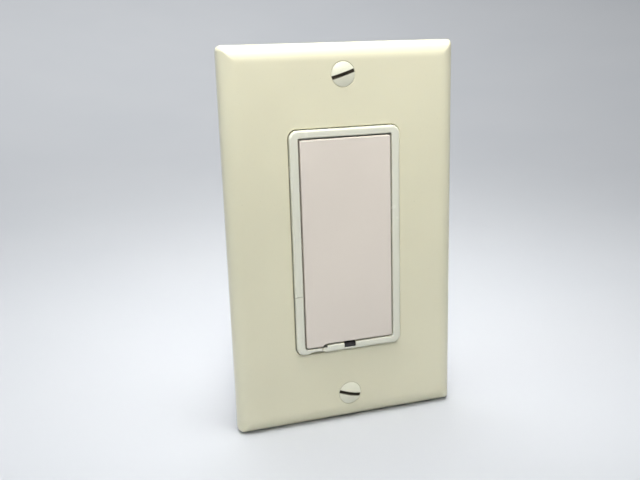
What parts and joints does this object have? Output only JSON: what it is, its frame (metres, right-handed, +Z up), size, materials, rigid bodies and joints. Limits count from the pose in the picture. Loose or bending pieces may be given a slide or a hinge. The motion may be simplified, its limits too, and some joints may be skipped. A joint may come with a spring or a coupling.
{
  "type": "wall dimmer switch",
  "caption": "Wall dimmer with a full-face rocking paddle, a small indicator window and a pull-out corner lever, in a single rectangular-opening wallplate.",
  "frame": {"origin": "centre of the wall plane, half way between the two wall box screws", "axes": "+Z up, the front faces -Y, the wall box is towards +Y, X across the plate"},
  "size_m": [0.0698, 0.0377, 0.1142],
  "materials": {
    "plate_plastic": "satin moulded, ivory",
    "bezel_plastic": "satin moulded, light ivory",
    "paddle_plastic": "fine matt moulded, warm grey-ivory",
    "ivory_screw": "painted ivory with bare edges",
    "zinc_steel": "zinc plated",
    "spring_steel": "bright rolled",
    "smoked_window": "polished, almost black",
    "clear_plastic": "clear moulded",
    "lamp_epoxy": "clear tinted epoxy",
    "yoke_aluminium": "stamped, lightly rolled",
    "green_screw": "dyed green",
    "housing_plastic": "black glass-filled moulding",
    "brass": "stamped, bare",
    "fibre_card": "pressed fibre",
    "board_laminate": "green solder mask",
    "black_epoxy": "moulded epoxy",
    "silicone": "soft translucent",
    "ferrite": "pressed powder",
    "enamelled_copper": "copper wire under varnish",
    "film_case": "potted case, yellow",
    "varistor_coat": "dipped coating, blue",
    "fuse_body": "moulded sleeve, tan"
  },
  "bodies": {
    "device": {"wallplate": "plate_plastic", "wallplate_screws": "ivory_screw", "bezel_frame": "bezel_plastic", "paddle_pivot_rod": "zinc_steel", "paddle_return_spring": "spring_steel", "indicator_window": "smoked_window", "light_pipe": "clear_plastic", "indicator_led": "lamp_epoxy", "lever_pivot_pin": "zinc_steel", "air_gap_leaf": "spring_steel", "air_gap_contact": "brass", "heat_sink_yoke": "yoke_aluminium", "box_screws": "zinc_steel", "screw_retainers": "fibre_card", "ground_screw": "green_screw", "rear_housing": "housing_plastic", "housing_screws": "zinc_steel", "terminal_plates": "brass", "terminal_clamps": "zinc_steel", "terminal_screws": "brass", "insulating_sheet": "fibre_card", "circuit_board": "board_laminate", "key_switch_bases": "black_epoxy", "key_domes": "silicone", "triac": "black_epoxy", "triac_pad": "silicone", "triac_rivet": "zinc_steel", "choke_core": "ferrite", "choke_winding": "enamelled_copper", "film_capacitor": "film_case", "supply_capacitor": "black_epoxy", "varistor": "varistor_coat", "fuse": "fuse_body", "microcontroller": "black_epoxy", "opto_coupler": "black_epoxy", "resistors": "black_epoxy"},
    "paddle_rocker": {"paddle": "paddle_plastic"},
    "pull_lever": {"service_lever": "bezel_plastic", "lever_contact_tip": "brass"}
  },
  "joints": [
    {"name": "paddle_rock", "type": "hinge", "parent": "device", "child": "paddle_rocker", "pos_m": [0, -0.0039, 0], "axis": [1, 0, 0], "range_deg": [-1.5, 1.5], "stiffness_Nm_per_rad": 1.9, "deforming": ["key_domes", "paddle_return_spring"]},
    {"name": "lever_swing", "type": "hinge", "parent": "device", "child": "pull_lever", "pos_m": [-0.01536, -0.0043, -0.013], "axis": [-1, 0, 0], "range_deg": [0, 8], "deforming": ["air_gap_leaf"]}
  ]
}
